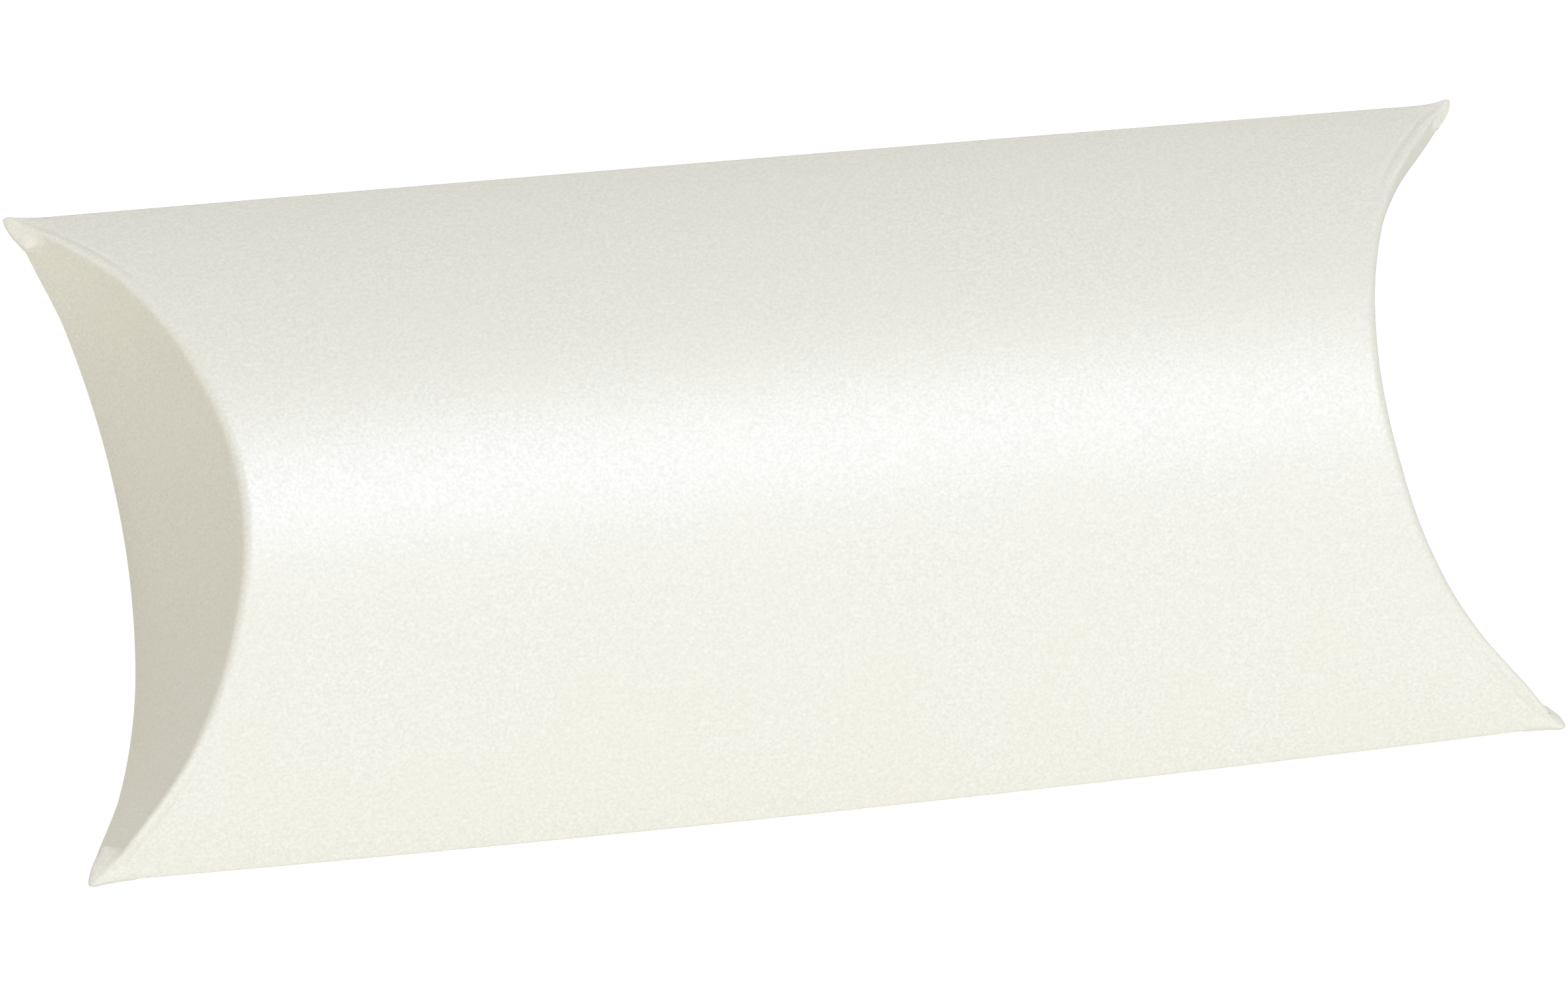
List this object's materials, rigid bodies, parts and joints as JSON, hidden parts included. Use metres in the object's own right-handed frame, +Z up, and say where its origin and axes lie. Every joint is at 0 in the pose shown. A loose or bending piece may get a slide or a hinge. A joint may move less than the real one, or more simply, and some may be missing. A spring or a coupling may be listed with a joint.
{
  "type": "pillow box",
  "caption": "Pillow-shaped gift box of pearly cream card, with two bowed panels, curved end creases and hollow-curved end flaps that swing open",
  "frame": {"origin": "under the middle of the box, on the surface that the back panel rests on", "axes": "+X along the box, +Y across it to the long fold, +Z up through its thickness to the front panel"},
  "size_m": [0.21, 0.095, 0.036],
  "materials": {
    "card": "satin pearlescent",
    "card_inside": "matt",
    "glue": "matt"
  },
  "bodies": {
    "box": {"front_panel": "card", "back_panel": "card", "long_fold": "card", "seam_fold": "card", "glue_flap": "card_inside", "glue_line": "glue", "right_front_crease": "card", "left_front_crease": "card", "right_back_crease": "card", "left_back_crease": "card"},
    "right_outer_flap": {"right_outer_flap": "card"},
    "left_outer_flap": {"left_outer_flap": "card"},
    "right_inner_flap": {"right_inner_flap": "card_inside"},
    "left_inner_flap": {"left_inner_flap": "card_inside"}
  },
  "joints": [
    {"name": "right_outer_flap_fold", "type": "hinge", "parent": "box", "child": "right_outer_flap", "pos_m": [0.07883, 0, 0.03525], "axis": [0, -1, 0], "range_deg": [0, 70]},
    {"name": "right_inner_flap_fold", "type": "hinge", "parent": "box", "child": "right_inner_flap", "pos_m": [0.07883, 0, 0.00075], "axis": [0, 1, 0], "range_deg": [0, 70]},
    {"name": "left_outer_flap_fold", "type": "hinge", "parent": "box", "child": "left_outer_flap", "pos_m": [-0.07883, 0, 0.03525], "axis": [0, 1, 0], "range_deg": [0, 70]},
    {"name": "left_inner_flap_fold", "type": "hinge", "parent": "box", "child": "left_inner_flap", "pos_m": [-0.07883, 0, 0.00075], "axis": [0, -1, 0], "range_deg": [0, 70]}
  ],
  "couplings": [
    {"joint": "right_inner_flap_fold", "follows": "right_outer_flap_fold", "ratio": 1},
    {"joint": "left_inner_flap_fold", "follows": "left_outer_flap_fold", "ratio": 1}
  ]
}
